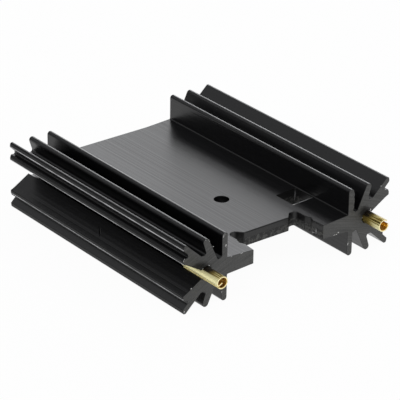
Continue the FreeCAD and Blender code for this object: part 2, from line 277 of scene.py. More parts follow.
def bar(name: str, outline: np.ndarray, start: float, end: float, edge: float, cap: int) -> bpy.types.Object:
    """Carry an outline in X and Z along Y, with its edges at both ends a little rounded.

    Args:
        name: the object's name.
        outline: points across and up.
        start: the near end along Y.
        end: the far end.
        edge: radius of the two ends' edges.
        cap: material number of the ends.

    Returns:
        The closed bar.
    """
    outline = counterclockwise(outline)
    depth, inset = edge_round(edge, 3)
    places = np.concatenate((start + depth, (end - depth)[::-1]))
    insets = np.concatenate((inset, inset[::-1]))
    sections = np.stack([grown(outline, -size) for size in insets])
    along = np.broadcast_to(places[:, None], sections.shape[:2])
    return loft(name, np.stack((sections[:, :, 0], along, sections[:, :, 1]), axis=-1), cap)


def finished(piece: bpy.types.Object, sharp_degrees: float = 32.0) -> bpy.types.Object:
    """Mark the sharp edges, weigh the normals by face area and apply every modifier to a plain mesh.

    Args:
        piece: the object, which is changed.
        sharp_degrees: the angle between two faces from which their edge is sharp.

    Returns:
        The same object.
    """
    piece.data.set_sharp_from_angle(angle=np.radians(sharp_degrees))
    weighted = piece.modifiers.new("weighted_normals", "WEIGHTED_NORMAL")
    weighted.keep_sharp = True
    return applied(piece)


def applied(piece: bpy.types.Object) -> bpy.types.Object:
    """Replace an object's mesh by what its modifiers make of it, and drop them.

    Args:
        piece: the object, which is changed.

    Returns:
        The same object.
    """
    bpy.context.view_layer.update()
    evaluated = piece.evaluated_get(bpy.context.evaluated_depsgraph_get())
    mesh = bpy.data.meshes.new_from_object(evaluated)
    mesh.name = piece.data.name
    piece.modifiers.clear()
    piece.data = mesh
    return piece


# Shader graphs


def operator(operation: str, first: bool = True) -> Callable[["Signal", "Feed"], "Signal"]:
    """Make the method behind one of Python's operators.

    Args:
        operation: what the Math node works out.
        first: whether the signal comes before the other value.

    Returns:
        A method that adds the node and returns its output.
    """
    def method(signal: "Signal", other: "Feed") -> "Signal":
        """Work out the operation on the signal and the other value."""
        return signal.math(operation, other, first=first)
    return method


class Signal:
    """An output socket, which Python's operators turn into Math nodes."""

    def __init__(self, graph: "Graph", socket: bpy.types.NodeSocket) -> None:
        """Hold a socket and the graph that it belongs to."""
        self.graph = graph
        self.socket = socket

    def math(self, operation: str, *others: "Feed", first: bool = True) -> "Signal":
        """Add a Math node on this value and others, with this one first or last."""
        values = (self, *others) if first else (*others, self)
        return self.graph.add("ShaderNodeMath", {"operation": operation}, dict(enumerate(values)))

    __add__ = operator("ADD")
    __radd__ = operator("ADD", first=False)
    __sub__ = operator("SUBTRACT")
    __rsub__ = operator("SUBTRACT", first=False)
    __mul__ = operator("MULTIPLY")
    __rmul__ = operator("MULTIPLY", first=False)
    __truediv__ = operator("DIVIDE")


Feed = Union[Signal, float, tuple]


class Graph:
    """A node tree that is built by expressions."""

    COLOUR_A = 6
    COLOUR_B = 7
    COLOUR_OUT = 2

    def __init__(self, tree: bpy.types.NodeTree) -> None:
        """Start on an empty tree."""
        self.tree = tree
        self.tree.nodes.clear()

    def add(self, kind: str, settings: Optional[Mapping[str, object]] = None,
            inputs: Optional[Mapping] = None, output: Union[int, str] = 0) -> Optional[Signal]:
        """Add one node, set it up and feed it.

        Args:
            kind: the node's type.
            settings: its properties, which are set first; stops are a ramp's (place, grey) pairs.
            inputs: a value or a signal for each socket, by name or number.
            output: the output that is wanted, by name or number.

        Returns:
            The wanted output, or none where the node has no outputs.
        """
        node = self.tree.nodes.new(kind)
        for name, setting in (settings or {}).items():
            if name == "stops":
                self.set_stops(node.color_ramp, setting)
            else:
                setattr(node, name, setting)
        for key, feed in (inputs or {}).items():
            if isinstance(feed, Signal):
                self.tree.links.new(feed.socket, node.inputs[key])
            else:
                node.inputs[key].default_value = feed
        return Signal(self, node.outputs[output]) if len(node.outputs) else None

    @staticmethod
    def set_stops(ramp: bpy.types.ColorRamp, stops: Sequence[tuple[float, float]]) -> None:
        """Give a ramp its stops, joined by smooth curves.

        Args:
            ramp: the ramp, which is changed.
            stops: a place and a grey each, in order.
        """
        ramp.interpolation = "EASE"
        while len(ramp.elements) > 1:
            ramp.elements.remove(ramp.elements[-1])
        for index, (place, grey) in enumerate(stops):
            stop = ramp.elements[0] if index == 0 else ramp.elements.new(place)
            stop.position = place
            stop.color = (grey, grey, grey, 1.0)

    def place(self, scale: tuple[float, float, float]) -> Signal:
        """Return the object's own coordinates in metres, times a scale along each axis."""
        here = self.add("ShaderNodeTexCoord", output="Object")
        return self.add("ShaderNodeVectorMath", {"operation": "MULTIPLY"}, {0: here, 1: scale})

    def axes(self, vector: Signal) -> list[Signal]:
        """Return a vector's three parts."""
        return [self.add("ShaderNodeSeparateXYZ", inputs={0: vector}, output=axis) for axis in "XYZ"]

    def noise(self, size: tuple[float, float, float], detail: float = 2.0, seed: float = 0.0) -> Signal:
        """Add smooth noise from 0 to 1.

        Args:
            size: how large its lumps are along each axis, in millimetres.
            detail: how many finer layers it has.
            seed: how far it is moved, so that two of one size differ.

        Returns:
            The noise.
        """
        scale = tuple(1.0 / (length * MM) for length in size)
        place = self.add("ShaderNodeVectorMath", {"operation": "ADD"},
                         {0: self.place(scale), 1: (seed, 0.7 * seed, 0.3 * seed)})
        return self.add("ShaderNodeTexNoise", inputs={"Vector": place, "Scale": 1.0, "Detail": detail})

    def step(self, value: Feed, low: float, high: float, start: float = 0.0, end: float = 1.0) -> Signal:
        """Return a smooth step from start, at low, to end, at high."""
        inputs = {"Value": value, "From Min": low, "From Max": high, "To Min": start, "To Max": end}
        return self.add("ShaderNodeMapRange", {"interpolation_type": "SMOOTHSTEP"}, inputs)

    def mixed(self, factor: Feed, first: Feed, second: Feed) -> Signal:
        """Mix two colours by a factor."""
        inputs = {0: factor, self.COLOUR_A: first, self.COLOUR_B: second}
        return self.add("ShaderNodeMix", {"data_type": "RGBA"}, inputs, self.COLOUR_OUT)

    def bump(self, height_um: Feed, strength: float = 1.0) -> Signal:
        """Return the normal over a height in microns."""
        inputs = {"Height": height_um, "Distance": MICRON, "Strength": strength}
        return self.add("ShaderNodeBump", inputs=inputs)

    def finish(self, shader: Signal, kind: str = "ShaderNodeOutputMaterial") -> None:
        """Feed a shader to the tree's output."""
        self.add(kind, inputs={"Surface": shader})


def new_material(name: str) -> tuple[bpy.types.Material, Graph]:
    """Make a material with an empty graph.

    Args:
        name: the material's name.

    Returns:
        The material and its graph.
    """
    material = bpy.data.materials.new(name)
    material.use_nodes = True
    return material, Graph(material.node_tree)


def grey(level: float) -> tuple[float, float, float, float]:
    """Return a neutral colour."""
    return (level, level, level, 1.0)


def tone(colour: tuple[float, float, float], share: float = 1.0) -> tuple[float, float, float, float]:
    """Return an opaque colour, made darker or lighter by a factor."""
    return (colour[0] * share, colour[1] * share, colour[2] * share, 1.0)


@dataclass(frozen=True)
class DrawnAnodised:
    """Satin black anodising over the fine lines that the die leaves along Y."""

    name: str = "drawn_black_anodising"
    colour: tuple[float, float, float] = (0.0024, 0.0024, 0.0028)
    ior: float = 1.45
    roughness: float = 0.3
    line_pitch: float = 0.7
    line_height_um: float = 38.0
    finer: float = 3.5
    fine_height: float = 0.2
    run: float = 160.0
    drift_size: tuple[float, float, float] = (9.0, 30.0, 9.0)
    drift_depth: float = 0.06

    def build(self) -> bpy.types.Material:
        """Put two widths of lines in relief, under a roughness that drifts a little.

        Returns:
            The material.
        """
        material, graph = new_material(self.name)
        fine_pitch = self.line_pitch / self.finer
        coarse = graph.noise((self.line_pitch, self.run, self.line_pitch), detail=3.0)
        fine = graph.noise((fine_pitch, self.run, fine_pitch), detail=1.0, seed=5.0)
        drift = graph.noise(self.drift_size, detail=2.0, seed=2.0)
        height = coarse * self.line_height_um + fine * (self.line_height_um * self.fine_height)
        shader = graph.add("ShaderNodeBsdfPrincipled", inputs={
            "Base Color": tone(self.colour),
            "Roughness": (drift - 0.5) * self.drift_depth + self.roughness,
            "IOR": self.ior,
            "Normal": graph.bump(height),
        })
        graph.finish(shader)
        return material


@dataclass(frozen=True)
class SawnAnodised:
    """Matt grey anodising over a sawn end: the blade's fine arcs, and painted shadows as dark patches above
    the pins.
    """

    name: str = "sawn_black_anodising"
    colour: tuple[float, float, float] = (0.040, 0.040, 0.0378)
    # Near black colour of the painted shadows above the pins.
    shadow_colour: tuple[float, float, float] = (0.006, 0.005, 0.004)
    ior: float = 1.5
    roughness: float = 0.5
    blade: tuple[float, float, float] = (1.5, 0.0, -33.65)
    line_pitch: float = 0.17
    line_run: float = 7.0
    line_height_um: float = 60.0
    line_share: float = 0.65
    shades: tuple[float, float] = (0.42, 1.62)
    shade_range: tuple[float, float] = (0.3, 0.7)
    speckle_size: tuple[float, float, float] = (0.25, 1.0, 0.25)
    speckle_height: float = 0.35
    speckle_roughness: float = 0.15
    middle: float = 6.35
    # Painted shadows: how dark, how frayed, how soft and how grainy they are.
    shadow_depth: float = 0.68
    shadow_wobble: float = 0.5
    shadow_edge: tuple[float, float] = (1.0, 0.3)
    shadow_grain: tuple[float, float, float] = (1.2, 1.0, 0.7)
    # Each painted shadow: its place across, its height above the middle, its width and its height.
    shadow_patches: tuple[tuple[float, float, float, float], ...] = (
        (-19.6, 1.6, 2.9, 1.2), (-17.9, 1.0, 1.5, 1.0), (17.1, 1.2, 1.7, 1.5))

    def shadow_mask(self, graph: Graph, wobble: Signal) -> Signal:
        """Work out how deep the painted shadow is at a place, from soft ellipses round the middle of each
        patch.

        Args:
            graph: the material's graph.
            wobble: noise that frays the ellipses' edges.

        Returns:
            The depth of the deepest painted shadow at each place, from 0 to 1.
        """
        darkest = None
        for across, up, width, height in self.shadow_patches:
            scale = (1.0 / (width * MM), 0.0, 1.0 / (height * MM))
            middle = (across / width, 0.0, (self.middle + up) / height)
            offset = graph.add("ShaderNodeVectorMath", {"operation": "SUBTRACT"},
                               {0: graph.place(scale), 1: middle})
            away = graph.add("ShaderNodeVectorMath", {"operation": "LENGTH"}, {0: offset}, "Value")
            depth = graph.step(away + (wobble - 0.5) * self.shadow_wobble, *self.shadow_edge)
            darkest = depth if darkest is None else darkest.math("MAXIMUM", depth)
        return darkest

    def build(self) -> bpy.types.Material:
        """Put arcs about the blade's middle in relief and colour, with a rough speckle and the painted
        shadows.

        Returns:
            The material.
        """
        material, graph = new_material(self.name)
        blade = tuple(length * MM for length in self.blade)
        spoke = graph.add("ShaderNodeVectorMath", {"operation": "SUBTRACT"},
                          {0: graph.place((1.0, 0.0, 1.0)), 1: blade})
        radius = graph.add("ShaderNodeVectorMath", {"operation": "LENGTH"}, {0: spoke}, "Value")
        across = graph.axes(spoke)[0]
        vector = graph.add("ShaderNodeCombineXYZ", inputs={
            "X": radius * (1.0 / (self.line_pitch * MM)), "Y": across * (1.0 / (self.line_run * MM))})
        lines = graph.add("ShaderNodeTexNoise", inputs={"Vector": vector, "Scale": 1.0, "Detail": 3.0})
        speckle = graph.noise(self.speckle_size, detail=4.0, seed=3.0)
        shade = graph.step(lines * self.line_share + speckle * (1.0 - self.line_share), *self.shade_range)
        colour = graph.mixed(shade, *(tone(self.colour, share) for share in self.shades))
        height = lines * self.line_height_um + speckle * (self.line_height_um * self.speckle_height)
        clean = graph.add("ShaderNodeBsdfPrincipled", inputs={
            "Base Color": colour,
            "Roughness": (speckle - 0.5) * self.speckle_roughness + self.roughness,
            "IOR": self.ior,
            "Normal": graph.bump(height),
        })
        # Painted shadow: a near black matt shader mixed in above the pins, where shade falls.
        painted_shadow = graph.add("ShaderNodeBsdfDiffuse", inputs={"Color": tone(self.shadow_colour)})
        depth = self.shadow_mask(graph, graph.noise(self.shadow_grain, detail=3.0, seed=9.0)) * self.shadow_depth
        graph.finish(graph.add("ShaderNodeMixShader", inputs={0: depth, 1: clean, 2: painted_shadow}))
        return material


@dataclass(frozen=True)
class PunchedAnodised:
    """Anodising over a punched wall: burnished in its upper half and torn, in patches, below."""

    name: str = "punched_black_anodising"
    colour: tuple[float, float, float] = (0.006, 0.006, 0.0061)
    torn: tuple[float, float, float] = (0.055, 0.055, 0.051)
    pit: tuple[float, float, float] = (0.004, 0.004, 0.004)
    ior: float = 1.45
    roughness: float = 0.36
    torn_roughness: float = 0.6
    tear_height: float = 6.45
    tear_wander: float = 0.9
    tear_blur: float = 0.12
    patch_size: tuple[float, float, float] = (0.8, 0.8, 0.55)
    patch_share: float = 0.6
    blotch_range: tuple[float, float] = (0.45, 0.56)
    grain_size: tuple[float, float, float] = (0.28, 0.28, 0.35)
    streak_pitch: float = 0.3
    streak_height_um: float = 45.0
    tear_height_um: float = 120.0

    def build(self) -> bpy.types.Material:
        """Put faint upright streaks above, and rough patches of dark and light below.

        Returns:
            The material.
        """
        material, graph = new_material(self.name)
        streaks = graph.noise((self.streak_pitch, self.streak_pitch, 4.0), detail=3.0)
        patches = graph.noise(self.patch_size, detail=5.0, seed=8.0)
        grain = graph.noise(self.grain_size, detail=3.0, seed=12.0)
        up = graph.axes(graph.place((1.0, 1.0, 1.0)))[2]
        edge = up + (streaks - 0.5) * (self.tear_wander * MM)
        edges = (self.tear_height + self.tear_blur, self.tear_height - self.tear_blur)
        below = graph.step(edge, *(height * MM for height in edges))
        both = patches * self.patch_share + grain * (1.0 - self.patch_share)
        blotches = graph.step(both, *self.blotch_range)
        mottle = graph.mixed(blotches, tone(self.pit), tone(self.torn))
        height = streaks * self.streak_height_um + (patches + grain) * 0.5 * below * self.tear_height_um
        shader = graph.add("ShaderNodeBsdfPrincipled", inputs={
            "Base Color": graph.mixed(below, tone(self.colour), mottle),
            "Roughness": below * (self.torn_roughness - self.roughness) + self.roughness,
            "IOR": self.ior,
            "Normal": graph.bump(height),
        })
        graph.finish(shader)
        return material


@dataclass(frozen=True)
class WornAnodised:
    """An edge where the anodising is rubbed thin, so that the aluminium shows in long broken dashes."""

    name: str = "worn_black_anodising"
    colour: tuple[float, float, float] = (0.02, 0.02, 0.02)
    bare: tuple[float, float, float] = (0.55, 0.55, 0.56)
    ior: float = 1.45
    roughness: float = 0.45
    dash: tuple[float, float, float] = (0.6, 2.5, 0.6)
    wear: float = 0.9
    dash_range: tuple[float, float] = (0.25, 0.65)
    dash_depth: tuple[float, float] = (0.35, 1.0)

    def build(self) -> bpy.types.Material:
        """Let bare metal and black take turns along Y.

        Returns:
            The material.
        """
        material, graph = new_material(self.name)
        dashes = graph.noise(self.dash, detail=4.0, seed=6.0)
        bare = graph.step(dashes, *self.dash_range, *self.dash_depth) * self.wear
        shader = graph.add("ShaderNodeBsdfPrincipled", inputs={
            "Base Color": graph.mixed(bare, tone(self.colour), tone(self.bare)),
            "Metallic": bare,
            "Roughness": self.roughness,
            "IOR": self.ior,
        })
        graph.finish(shader)
        return material


@dataclass(frozen=True)
class Metal:
    """A bare metal with fine lines along Y and a faint tarnish in long streaks."""

    name: str
    colour: tuple[float, float, float]
    tarnish: tuple[float, float, float]
    roughness: float = 0.2
    line_pitch: float = 0.16
    line_height_um: float = 16.0
    run: float = 60.0
    streak_size: tuple[float, float, float] = (0.4, 9.0, 0.4)
    streak_range: tuple[float, float] = (0.45, 0.72)
    streak_depth: float = 0.6
    streak_roughness: float = 0.1

    def build(self) -> bpy.types.Material:
        """Put the rolled lines in relief, and tarnish in soft streaks.

        Returns:
            The material.
        """
        material, graph = new_material(self.name)
        lines = graph.noise((self.line_pitch, self.run, self.line_pitch), detail=2.0)
        streaks = graph.step(graph.noise(self.streak_size, detail=3.0, seed=4.0), *self.streak_range)
        shader = graph.add("ShaderNodeBsdfPrincipled", inputs={
            "Base Color": graph.mixed(streaks * self.streak_depth, tone(self.colour), tone(self.tarnish)),
            "Metallic": 1.0,
            "Roughness": streaks * self.streak_roughness + self.roughness,
            "Normal": graph.bump(lines * self.line_height_um),
        })
        graph.finish(shader)
        return material


@dataclass(frozen=True)
class RolledBrass:
    """Rolled brass round a pin: a painted highlight on its lower left and in streaks, tarnish in streaks, and
    painted shade above and at the end face.

    Each pair of numbers is the range over which a zone sets in: in millimetres out of the end face for
    out, in levels across the pin for level, and in values of the streaks' noise for streaks.
    """

    name: str
    axis: tuple[float, float]
    radius: float
    end_face: float
    # Where the painted highlight and the painted shadow lie.
    highlight_out: tuple[float, float]
    highlight_level: tuple[float, float]
    pin_shadow_out: tuple[float, float]
    pin_shadow_level: tuple[float, float]
    gold: tuple[float, float, float] = (0.72, 0.52, 0.11)
    # Near white for the painted highlight, dark for tarnish and painted shade, near black for the painted
    # shadow.
    pale: tuple[float, float, float] = (1.0, 0.93, 0.50)
    dark: tuple[float, float, float] = (0.12, 0.088, 0.018)
    shadow_colour: tuple[float, float, float] = (0.010, 0.007, 0.004)
    facing_degrees: float = 52.0
    wobble: float = 0.3
    # How frayed the painted shadow is, and where the highlight streaks, the tarnish and the painted shade set
    # in.
    pin_shadow_wobble: float = 4.0
    streak_highlight_range: tuple[float, float] = (0.49, 0.44)
    streak_highlight_out: tuple[float, float] = (1.4, 2.8)
    tarnished_streaks: tuple[float, float] = (0.46, 0.58)
    end_shade_out: tuple[float, float] = (3.0, 0.3)
    upper_shade_level: tuple[float, float] = (0.78, 0.92)
    most: float = 0.8
    metallic: float = 0.65
    highlight_loss: float = 0.3
    roughness: float = 0.26
    streak_size: tuple[float, float, float] = (0.24, 9.0, 0.24)
    line_size: tuple[float, float, float] = (0.2, 60.0, 0.2)
    line_height_um: float = 18.0

    def build(self) -> bpy.types.Material:
        """Lay out the painted highlight, the tarnish and the painted shade by the level across the pin and
        the way out of the end face.

        The level is the cosine of the angle round the axis from the facing direction, from 1 on the
        pin's upper right over 0 to -1 on its lower left.

        Returns:
            The material.
        """
        material, graph = new_material(self.name)
        across, along, up = graph.axes(graph.place((1.0, 1.0, 1.0)))
        facing = np.radians(self.facing_degrees)
        level = ((across - self.axis[0] * MM) * float(np.cos(facing)) +
                 (up - self.axis[1] * MM) * float(np.sin(facing))) / (self.radius * MM)
        out = (self.end_face * MM - along) / MM
        streaks = graph.noise(self.streak_size, detail=3.0, seed=4.0)
        lines = graph.noise(self.line_size, detail=2.0)
        # Painted highlight: a light colour along the lower left, and in streaks further out of the end face.
        lower = graph.step(level + (streaks - 0.5) * self.wobble, *self.highlight_level)
        lower = lower * graph.step(out, *self.highlight_out)
        streak_highlight = graph.step(streaks, *self.streak_highlight_range) * graph.step(out, *self.streak_highlight_out)
        pale = lower.math("MAXIMUM", streak_highlight * self.most)
        # Painted shadow: near black on the pin's upper side next to the end face.
        upper = graph.step(level, *self.pin_shadow_level)
        pin_shadow = graph.step(out + (streaks - 0.5) * self.pin_shadow_wobble, *self.pin_shadow_out[::-1]) * upper
        # Painted shade: darker within a few millimetres of the end face and in a strip on the upper right;
        # the streaks alone are tarnish.
        base = graph.step(out, *self.end_shade_out) * self.most
        edge = graph.step(level, *self.upper_shade_level) * self.most
        tarnish = graph.step(streaks, *self.tarnished_streaks).math("MAXIMUM", base.math("MAXIMUM", edge))
        clean = graph.mixed(pale, tone(self.gold), tone(self.pale))
        metal = graph.mixed(tarnish * (1.0 - pale), clean, tone(self.dark))
        shader = graph.add("ShaderNodeBsdfPrincipled", inputs={
            "Base Color": graph.mixed(pin_shadow, metal, tone(self.shadow_colour)),
            "Metallic": (self.metallic - pale * self.highlight_loss) * (1.0 - pin_shadow),
            "Roughness": self.roughness,
            "Normal": graph.bump(lines * self.line_height_um),
        })
        graph.finish(shader)
        return material


# Sub-assemblies


@dataclass
class Extrusion:
    """The finned extrusion. Its overall sizes come from the frame, and the rest are its own.

    The names follow the profile's upper right quarter, then the punched shapes. Plate, root and flat are
    the plate's half heights and its level part; fin is the straight fin; groove lies between it and the
    leaning fin, lean; outer lies between that and the forked fin, fork, whose lower prong runs from the
    shoulder to the lip of the side groove. Mouth, notch, ear, bend, shoulder depth and step shape the end
    notch. A round is a corner's radius and a place is a distance from the neighbour inwards of it, or
    from the near end for the window and the hole.
    """

    name: str = "finned_extrusion"
    plate_half: float = 1.32
    root_half: float = 1.58
    flat_half: float = 7.9
    fin_inner: float = 13.32
    channel_fillet: float = 0.2
    fin_thickness: float = 1.15
    fin_round: float = 0.57
    groove_floor: float = 0.93
    groove_height: float = 1.85
    groove_round: float = 0.3
    groove_rise: float = 0.3
    groove_dip: float = 0.62
    groove_drops: tuple[float, float] = (-0.04, 0.06)
    lean_tip_place: float = 2.96
    lean_tip_width: float = 1.23
    lean_foot_place: float = 3.24
    lean_inner_round: float = 0.62
    lean_outer_round: float = 0.58
    outer_floor: float = 1.11
    outer_height: float = 3.4
    outer_round: float = 0.4
    fork_tip_width: float = 0.62
    fork_tip_inset: float = 0.1
    fork_tip_round: float = 0.33
    fork_inner_round: float = 0.22
    upper_edge: float = 0.86
    upper_round: float = 0.12
    fork_mouth: float = 1.49
    fork_depth: float = 0.96
    fork_slant: float = 0.95
    fork_back_round: float = 0.25
    fork_floor_round: float = 0.2
    shoulder_inset: float = 0.2
    prong_slant: float = 0.5
    prong_round: float = 0.12
    lower_edge: float = 0.53
    lower_round: float = 0.12
    lip_width: float = 0.95
    lip_drop: float = 0.08
    lip_round: float = 0.3
    pin_place: float = 3.31
    groove_overshoot: float = 0.324
    socket_radius: float = 1.2
    end_edge: float = 0.06
    wear_band: float = 0.2
    lower_wear_band: float = 0.14
    wear_slope: float = 0.3
    wear_reach: float = 0.13
    ceiling_wear: float = 0.05
    groove_wear: float = 0.03
    shoulder_wear: tuple[float, float] = (0.02, 0.06)
    dull_depth: float = 0.3
    mouth_half: float = 7.7
    notch_depth: float = 5.93
    ear_start: float = 4.95
    ear_inner: float = 6.05
    ear_width: float = 1.45
    ear_depth: float = 7.18
    ear_round: float = 0.82
    bend_depth: float = 4.8
    bend_round: float = 0.4
    shoulder_flare: float = 0.43
    shoulder_depth: float = 3.55
    step_inset: float = 0.48
    step_depth: float = 2.4
    shoulder_round: float = 0.2
    window_width: float = 4.45
    window_length: float = 4.65
    window_wall: float = 0.28
    window_place: float = 9.25
    window_round: float = 0.15
    hole_radius: float = 1.375
    hole_place: float = 18.4
    rim_width: float = 0.14
    rim_depth: float = 0.15
    rim_degrees: tuple[float, ...] = (90.0, 72.0, 54.0, 38.0, 24.0, 12.0)
    rim_margin: float = 0.02
    near_end: float = field(init=False)
    far_end: float = field(init=False)
    middle: float = field(init=False)
    half_height: float = field(init=False)
    side: float = field(init=False)

    def __post_init__(self) -> None:
        """Read the overall sizes from the CAD node."""
        low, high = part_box("heat_sink")
        self.near_end = low.y / MM
        self.far_end = high.y / MM
        self.middle = (low.z + high.z) / 2.0 / MM
        self.half_height = (high.z - low.z) / 2.0 / MM
        self.side = high.x / MM

    @property
    def fin_outer(self) -> float:
        """Return where a straight fin's outer face lies."""
        return self.fin_inner + self.fin_thickness

    @property
    def pin_axis(self) -> float:
        """Return how far a pin's axis lies from the middle."""
        return self.fin_outer + self.pin_place

    @property
    def prong_places(self) -> tuple[float, float, float, float]:
        """Work out the heights of the forked fin's corners.

        Returns:
            The mouth's ceiling and floor, the shoulder and the side groove's edge, from the top down.
        """
        ceiling = self.half_height - self.upper_edge
        floor = ceiling - self.fork_mouth
        shoulder = floor - self.prong_slant
        return ceiling, floor, shoulder, shoulder - self.lower_edge

    def lip(self) -> Corner:
        """Work out the slight bend in the side groove's wall, a little way in from its edge.

        Returns:
            The bend as a corner of the profile.
        """
        edge = np.array((self.side, self.prong_places[3]))
        foot = np.array((self.pin_axis - self.groove_overshoot, 0.0))
        run = (foot - edge) / np.linalg.norm(foot - edge)
        across, up = edge + self.lip_width * run - self.lip_drop * np.array((-run[1], run[0]))
        return Corner(across, up, self.lip_round)

    def quarter(self) -> np.ndarray:
        """Work out the profile's upper right quarter, from the plate to the side groove.

        Returns:
            Its points across and up from the middle plane.
        """
        top = self.half_height
        lean = self.fin_outer + self.lean_tip_place
        foot = self.fin_outer + self.lean_foot_place
        ceiling, floor, shoulder, groove = self.prong_places
        back = self.side - self.fork_depth
        dips = [self.groove_height + drop for drop in self.groove_drops]
        slope = self.wear_slope * np.array((-self.shoulder_inset, self.prong_slant))
        return rounded([
            Corner(-self.flat_half, self.plate_half),
            Corner(self.flat_half, self.plate_half),
            Corner(self.fin_inner, self.root_half, self.channel_fillet),
            Corner(self.fin_inner, top, self.fin_round),
            Corner(self.fin_outer, top, self.fin_round),
            Corner(self.fin_outer, self.groove_height + self.groove_rise, self.groove_round),
            Corner(self.fin_outer + self.groove_dip, dips[0], self.groove_round),
            Corner(self.fin_outer + self.groove_floor, dips[1], self.groove_round),
            Corner(lean, top, self.lean_inner_round),
            Corner(lean + self.lean_tip_width, top, self.lean_outer_round),
            Corner(foot, self.outer_height, self.outer_round),
            Corner(foot + self.outer_floor, self.outer_height, self.outer_round),
            Corner(self.side - self.fork_tip_width, top, self.fork_inner_round),
            Corner(self.side - self.fork_tip_inset, top, self.fork_tip_round),
            Corner(self.side, ceiling + self.wear_band),
            Corner(self.side, ceiling, self.upper_round),
            Corner(back, ceiling - self.fork_slant, self.fork_back_round),
            Corner(back, floor, self.fork_floor_round),
            Corner(self.side - self.shoulder_inset, floor, self.prong_round),
            Corner(self.side + slope[0], shoulder + slope[1]),
            Corner(self.side, shoulder, self.prong_round),
            Corner(self.side, groove + self.lower_wear_band),
            Corner(self.side, groove, self.lower_round),
            self.lip(),
            Corner(self.pin_axis - self.groove_overshoot, 0.0),
        ], closed=False)

    def socket(self) -> np.ndarray:
        """Work out the right pin socket: the circle's arc between the two walls of the side groove.

        A wall runs from its bend E towards its foot F. It meets the circle of radius R about the pin's
        axis C where the square of E + s (F - E) - C is the square of R, at the smaller root s.

        Returns:
            The arc's points from the upper wall round to the lower one.
        """
        lip = self.lip()
        edge = np.array((lip.across, lip.along))
        foot = np.array((self.pin_axis - self.groove_overshoot, 0.0))
        axis = np.array((self.pin_axis, 0.0))
        run = foot - edge
        offset = edge - axis
        squared = run @ run
        linear = 2.0 * (run @ offset)
        constant = offset @ offset - self.socket_radius ** 2
        root = (-linear - np.sqrt(linear ** 2 - 4.0 * squared * constant)) / (2.0 * squared)
        across, up = offset + root * run
        angle = np.arctan2(up, across)
        return arc(tuple(axis), self.socket_radius, angle, 2.0 * np.pi - angle, 36)

    def profile(self) -> np.ndarray:
        """Mirror the quarter downwards and to the left, with the sockets between the quarters.

        Returns:
            The whole outline, across and up from the middle plane.
        """
        quarter = self.quarter()
        right = np.concatenate((quarter, self.socket(), (quarter * (1.0, -1.0))[::-1]))
        left = (right * (-1.0, 1.0))[::-1]
        return np.concatenate((right, left))

    def wear(self, piece: bpy.types.Object, profile: np.ndarray) -> None:
        """Dull the outermost faces of the forked fins and wear their sharp edges.

        Worn are the two upper edges that catch the light and the lower prong's shoulder. The bar's side
        faces come first, ring by ring and one for each side of the profile, so a side's number within
        its ring tells where it lies.

        Args:
            piece: the bar, which is changed.
            profile: the outline that it was made from.
        """
        ceiling, _, shoulder, groove = self.prong_places
        ceiling_edge = (self.side, ceiling + self.ceiling_wear)
        groove_edge = (self.side, groove + self.groove_wear)
        shoulder_edge = (self.side - self.shoulder_wear[0], -shoulder - self.shoulder_wear[1])
        edges = np.array((ceiling_edge, groove_edge, shoulder_edge))
        outline = counterclockwise(profile)
        middles = (outline + np.roll(outline, -1, axis=0)) / 2.0 - (0.0, self.middle)
        middles[:, 0] = np.abs(middles[:, 0])
        away = np.linalg.norm(middles[:, None, :] - edges[None, :, :], axis=2).min(axis=1)
        numbers = np.empty(len(piece.data.polygons), dtype=np.int32)
        piece.data.polygons.foreach_get("material_index", numbers)
        sides = len(numbers) - 2
        turns = sides // len(outline)
        numbers[:sides][np.tile(middles[:, 0] > self.side - self.dull_depth, turns)] = Surface.DULL
        numbers[:sides][np.tile(away < self.wear_reach, turns)] = Surface.WORN
        piece.data.polygons.foreach_set("material_index", numbers)

    def plate_top(self, across: np.ndarray) -> np.ndarray:
        """Return the height of the plate's upper face, flat in the middle and then a straight rise."""
        slope = (self.root_half - self.plate_half) / (self.fin_inner - self.flat_half)
        return self.plate_half + slope * np.maximum(np.abs(across) - self.flat_half, 0.0)

    def punch(self, name: str, outlines: Sequence[np.ndarray], depths: Sequence[float],
              surface: Surface = Surface.PUNCHED, worn: bool = False) -> bpy.types.Object:
        """Make a punch whose outline changes with its depth below the plate's upper face.

        Args:
            name: the punch's name.
            outlines: the outline at each depth, in X and in Y from the end face, equally long.
            depths: the depths, the greatest first; a negative one lies above the plate.
            surface: the kind of surface that it leaves.
            worn: whether its near side, above the first step up from the greatest depth, is worn.

        Returns:
            The closed punch.
        """
        rings = []
        for outline, depth in zip(outlines, depths):
            outline = counterclockwise(outline)[::-1]
            height = self.middle + self.plate_top(outline[:, 0]) - depth
            rings.append(np.column_stack((outline[:, 0], outline[:, 1] + self.near_end, height)))
        punch = loft(name, np.stack(rings))
        numbers = np.full(len(punch.data.polygons), surface, dtype=np.int32)
        if worn:
            centres = np.empty(3 * len(numbers))
            punch.data.polygons.foreach_get("center", centres)
            along = centres.reshape(-1, 3)[:, 1]
            count = len(outlines[0])
            rims = np.arange(len(numbers)) >= count
            rims[-2:] = False
            numbers[rims & (along < along[:count].min() + self.rim_margin * MM)] = Surface.WORN
        punch.data.polygons.foreach_set("material_index", numbers)
        return punch

    def rim(self) -> tuple[np.ndarray, np.ndarray]:
        """Work out how a punched rim is drawn down: how far out it lies at each depth.

        It is a quarter of an ellipse that stops short of level and goes on straight, so that it crosses
        the plate's upper face at a small angle.

        Returns:
            How far out it lies and how deep, from the wall up.
        """
        angle = np.radians(np.array(self.rim_degrees))
        out = self.rim_width * (1.0 - np.sin(angle))
        depth = self.rim_depth * (1.0 - np.cos(angle))
        beyond = 1.5
        out = np.append(out, out[-1] + beyond * (out[-1] - out[-2]))
        depth = np.append(depth, depth[-1] + beyond * (depth[-1] - depth[-2]))
        return out, depth

